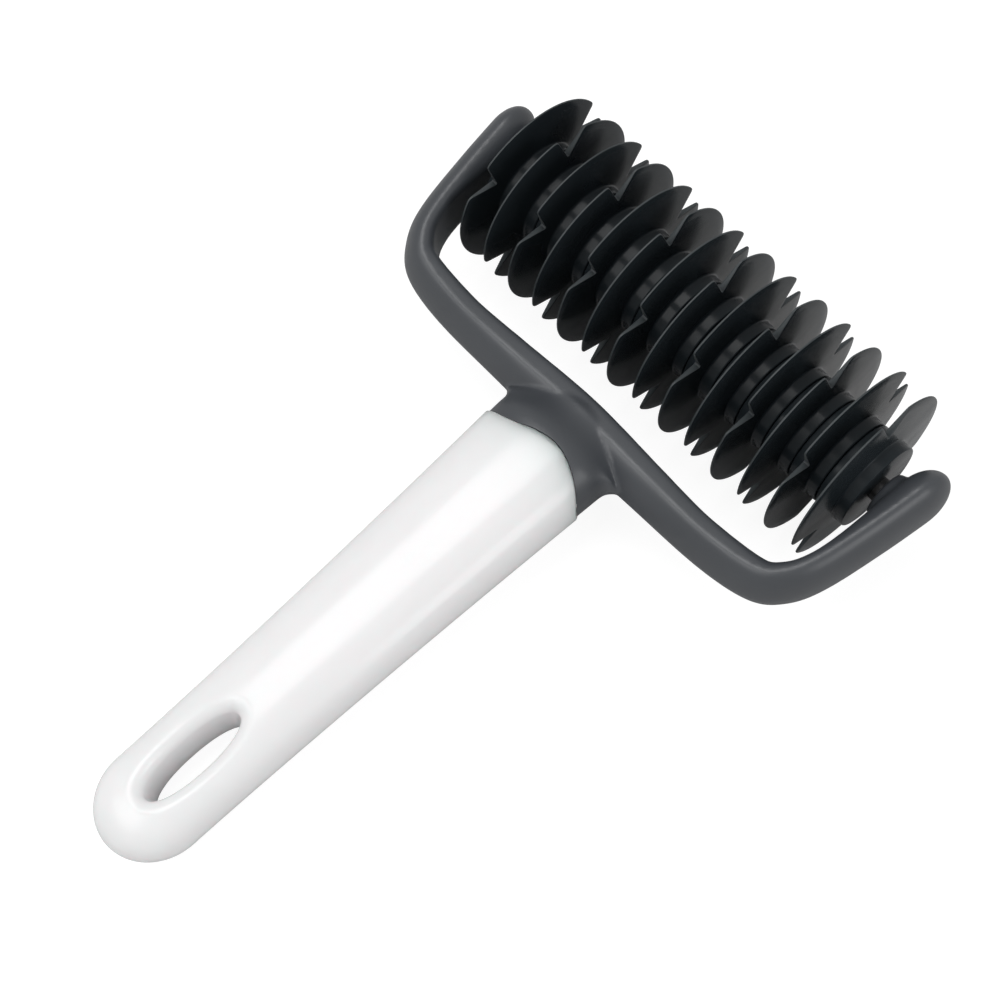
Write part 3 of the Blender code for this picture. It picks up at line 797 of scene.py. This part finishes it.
def new_material(name):
    made = bpy.data.materials.new(name)
    made.use_nodes = True
    tree = made.node_tree
    return made, tree, tree.nodes["Principled BSDF"]


def noise(tree, kind, stretch=(1, 1, 1)):
    """Noise over the piece's own coordinates."""
    scale, detail = kind
    where = tree.nodes.new("ShaderNodeTexCoord")
    spread = tree.nodes.new("ShaderNodeMapping")
    spread.inputs["Scale"].default_value = stretch
    made = tree.nodes.new("ShaderNodeTexNoise")
    made.inputs["Scale"].default_value = scale
    made.inputs["Detail"].default_value = detail
    tree.links.new(where.outputs["Object"], spread.inputs["Vector"])
    tree.links.new(spread.outputs["Vector"], made.inputs["Vector"])
    return made.outputs["Fac"]


def mapped(tree, source, low, high, from_low=NOISE_LOW, from_high=NOISE_HIGH):
    """A signal spread over another range, and held to its ends."""
    made = tree.nodes.new("ShaderNodeMapRange")
    made.inputs["From Min"].default_value = from_low
    made.inputs["From Max"].default_value = from_high
    made.inputs["To Min"].default_value = low
    made.inputs["To Max"].default_value = high
    tree.links.new(source, made.inputs["Value"])
    return made.outputs["Result"]


def tinted(tree, source, first, second):
    """Two colours mixed by a signal."""
    made = tree.nodes.new("ShaderNodeMix")
    made.data_type = "RGBA"
    made.inputs["A"].default_value = (*first, 1)
    made.inputs["B"].default_value = (*second, 1)
    tree.links.new(source, made.inputs["Factor"])
    return made.outputs["Result"]


def bumped(tree, source, distance, below=None):
    """A bump of a height in metres, over another one."""
    made = tree.nodes.new("ShaderNodeBump")
    made.inputs["Strength"].default_value = 1
    made.inputs["Distance"].default_value = distance
    tree.links.new(source, made.inputs["Height"])
    if below:
        tree.links.new(below, made.inputs["Normal"])
    return made.outputs["Normal"]


def plastic(name, colours, roughness, grain, waviness, specular=0.5):
    """Moulded plastic: a faint change of tone, uneven gloss, fine grain and slight waviness."""
    made, tree, shader = new_material(name)
    tone = mapped(tree, noise(tree, TONE_NOISE), 0, 1)
    tree.links.new(tinted(tree, tone, *colours), shader.inputs["Base Color"])
    smear = noise(tree, SMEAR_NOISE, SMEAR_STRETCH)
    tree.links.new(mapped(tree, smear, *roughness), shader.inputs["Roughness"])
    wave = bumped(tree, noise(tree, WAVE_NOISE), waviness)
    fine = bumped(tree, noise(tree, GRAIN_NOISE), grain, wave)
    tree.links.new(fine, shader.inputs["Normal"])
    shader.inputs["Specular IOR Level"].default_value = specular
    return made


def grey_plastic():
    return plastic(
        "satin_grey_plastic",
        colours=((0.048, 0.053, 0.06), (0.055, 0.06, 0.068)),
        roughness=(0.36, 0.42),
        grain=YOKE_GRAIN,
        waviness=YOKE_WAVINESS,
        specular=0.72,
    )


def white_plastic():
    made = plastic(
        "gloss_white_plastic",
        colours=((0.86, 0.856, 0.86), (0.875, 0.871, 0.875)),
        roughness=(0.17, 0.24),
        grain=HANDLE_GRAIN,
        waviness=GLOSS_WAVINESS,
    )
    shader = made.node_tree.nodes["Principled BSDF"]
    shader.inputs["Subsurface Weight"].default_value = 1
    shader.inputs["Subsurface Radius"].default_value = WHITE_REACH
    shader.inputs["Subsurface Scale"].default_value = WHITE_DEPTH
    return made


def black_plastic():
    return plastic(
        "gloss_black_plastic",
        colours=((0.016, 0.0205, 0.024), (0.019, 0.0245, 0.028)),
        roughness=(0.14, 0.26),
        grain=DISC_GRAIN,
        waviness=GLOSS_WAVINESS,
        specular=0.16,
    )


# Lighter than the discs' black: a painted highlight along the rims' rounded edges; only its roughness
# and grain are the rim's own
def rim_plastic():
    return plastic(
        "black_plastic_painted_rim_highlight",
        colours=((0.026, 0.033, 0.036), (0.045, 0.053, 0.057)),
        roughness=(0.38, 0.55),
        grain=RIM_GRAIN,
        waviness=GLOSS_WAVINESS,
    )


def axle_plastic():
    return plastic(
        "satin_black_plastic",
        colours=((0.01, 0.01, 0.0105), (0.014, 0.014, 0.0145)),
        roughness=(0.3, 0.42),
        grain=AXLE_GRAIN,
        waviness=GLOSS_WAVINESS,
    )


def place_camera():
    data = bpy.data.cameras.new("camera")
    data.sensor_width = SENSOR_WIDTH
    data.lens = CAMERA_LENS
    data.clip_start = CAMERA_CLIP_START
    camera = bpy.data.objects.new("camera", data)
    camera.location = CAMERA_PLACE
    camera.rotation_euler = (CAMERA_TIP, 0, CAMERA_TURN)
    bpy.context.scene.collection.objects.link(camera)
    bpy.context.scene.camera = camera


def softbox(name, direction, size, power):
    """A rectangular lamp that faces the tool from a direction."""
    data = bpy.data.lights.new(name, "AREA")
    data.shape = "RECTANGLE"
    data.size, data.size_y = size
    data.energy = power
    lamp = bpy.data.objects.new(name, data)
    towards = Vector(direction).normalized()
    lamp.location = towards * LAMP_DISTANCE
    lamp.rotation_euler = towards.to_track_quat("Z", "Y").to_euler()
    bpy.context.scene.collection.objects.link(lamp)


def light_studio():
    world = bpy.data.worlds.new("studio")
    bpy.context.scene.world = world
    world.use_nodes = True
    backdrop = world.node_tree.nodes["Background"]
    backdrop.inputs["Color"].default_value = (1, 1, 1, 1)
    seen = world.node_tree.nodes.new("ShaderNodeLightPath").outputs["Is Camera Ray"]
    strength = mapped(world.node_tree, seen, WORLD_STRENGTH, WORLD_STRENGTH_SEEN, 0, 1)
    world.node_tree.links.new(strength, backdrop.inputs["Strength"])
    for lamp in LAMPS:
        softbox(*lamp)


def floor_material():
    """Pale paper that shows white where no shadow falls."""
    made, tree, shader = new_material("studio_paper")
    seen = tree.nodes.new("ShaderNodeLightPath").outputs["Is Camera Ray"]
    tone = mapped(tree, noise(tree, PAPER_TONE_NOISE), 0, 1)
    lit = tinted(tree, tone, *FLOOR_COLOURS)
    shadowed = tree.nodes.new("ShaderNodeMix")
    shadowed.data_type = "RGBA"
    shadowed.inputs["B"].default_value = (*FLOOR_COLOUR_SEEN, 1)
    tree.links.new(seen, shadowed.inputs["Factor"])
    tree.links.new(lit, shadowed.inputs["A"])
    tree.links.new(shadowed.outputs["Result"], shader.inputs["Base Color"])
    shader.inputs["Roughness"].default_value = FLOOR_ROUGHNESS
    shader.inputs["Specular IOR Level"].default_value = 0
    grain = bumped(tree, noise(tree, PAPER_GRAIN_NOISE), FLOOR_GRAIN)
    tree.links.new(grain, shader.inputs["Normal"])
    glow = mapped(tree, seen, 0, FLOOR_GLOW_SEEN, 0, 1)
    tree.links.new(glow, shader.inputs["Emission Strength"])
    shader.inputs["Emission Color"].default_value = (1, 1, 1, 1)
    return made


def build_floor():
    half = FLOOR_SIZE / 2
    sheet = bmesh.new()
    corners = [(-half, -half), (half, -half), (half, half), (-half, half)]
    sheet.faces.new([sheet.verts.new((x, y, -FLOOR_DROP)) for x, y in corners])
    floor = put("floor", mesh_of("floor", sheet), Matrix.Identity(4))
    floor.data.materials.append(floor_material())


def main():
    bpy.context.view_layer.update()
    scene = bpy.context.scene
    scene.view_settings.view_transform = "Standard"
    place_camera()
    light_studio()
    build_floor()
    build_yoke(grey_plastic())
    build_handle(white_plastic())
    build_axle(axle_plastic())
    build_discs(black_plastic(), rim_plastic())


main()
